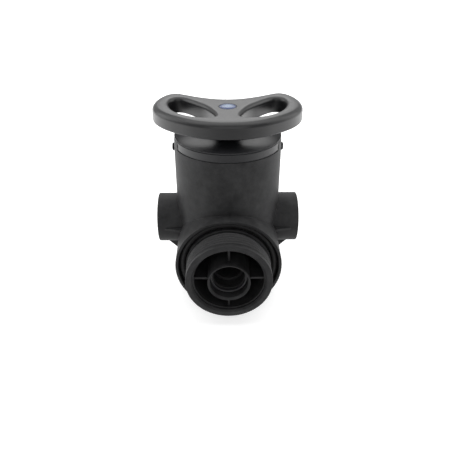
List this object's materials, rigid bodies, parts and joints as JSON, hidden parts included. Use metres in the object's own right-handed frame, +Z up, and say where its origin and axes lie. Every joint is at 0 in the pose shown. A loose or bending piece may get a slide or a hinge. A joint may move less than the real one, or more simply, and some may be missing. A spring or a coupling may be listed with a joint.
{
  "type": "multiport valve",
  "caption": "Manual side-mount multiport valve for a water filter tank, with a rotary bow handle on top, side ports, a drain port and a threaded tank neck.",
  "frame": {"origin": "centre of the body's flat bottom face, on the stem axis", "axes": "+Z up along the stem axis towards the handle; the threaded tank neck points along -Y, the inlet port along -X, the outlet port along +X and the drain port along +Y"},
  "size_m": [0.1272, 0.1413, 0.1731],
  "materials": {
    "body_plastic": "matte, fine moulded texture",
    "bonnet_plastic": "satin to gloss moulded",
    "handle_plastic": "satin moulded",
    "stem_plastic": "machined smooth",
    "seal_rubber": "matte",
    "blue_plastic": "satin",
    "white_plastic": "satin",
    "disc_ceramic": "lapped, low gloss",
    "badge_face": "domed, glossy",
    "black_steel": "black oxide",
    "steel": "bright"
  },
  "bodies": {
    "valve": {"valve_body": "body_plastic", "bonnet": "bonnet_plastic", "bonnet_oring": "seal_rubber", "lock_screw_left": "black_steel", "lock_screw_right": "black_steel", "hub_washer": "blue_plastic", "thrust_washer": "white_plastic", "fixed_disc": "disc_ceramic", "fixed_disc_seal": "seal_rubber", "neck_oring": "seal_rubber", "riser_oring": "seal_rubber", "riser_retaining_ring": "stem_plastic", "detent_spring_left": "steel", "detent_spring_right": "steel"},
    "rotor": {"handle": "handle_plastic", "handle_screw": "steel", "handle_screw_washer": "steel", "handle_badge": "badge_face", "stem": "stem_plastic", "stem_oring_lower": "seal_rubber", "stem_oring_upper": "seal_rubber", "moving_disc": "disc_ceramic", "moving_disc_seal": "seal_rubber"},
    "ball_left": {"detent_ball_left": "steel"},
    "ball_right": {"detent_ball_right": "steel"}
  },
  "joints": [
    {"name": "handle_turn", "type": "hinge", "parent": "valve", "child": "rotor", "pos_m": [0, 0, 0], "axis": [0, 0, 1], "range_deg": [-60, 60]},
    {"name": "detent_left", "type": "slide", "parent": "valve", "child": "ball_left", "axis": [0, 0, 1], "range_m": [-0.0008, 0], "stiffness_N_per_m": 150, "springref_m": -0.01, "deforming": ["detent_spring_left"]},
    {"name": "detent_right", "type": "slide", "parent": "valve", "child": "ball_right", "axis": [0, 0, 1], "range_m": [-0.0008, 0], "stiffness_N_per_m": 150, "springref_m": -0.01, "deforming": ["detent_spring_right"]}
  ]
}
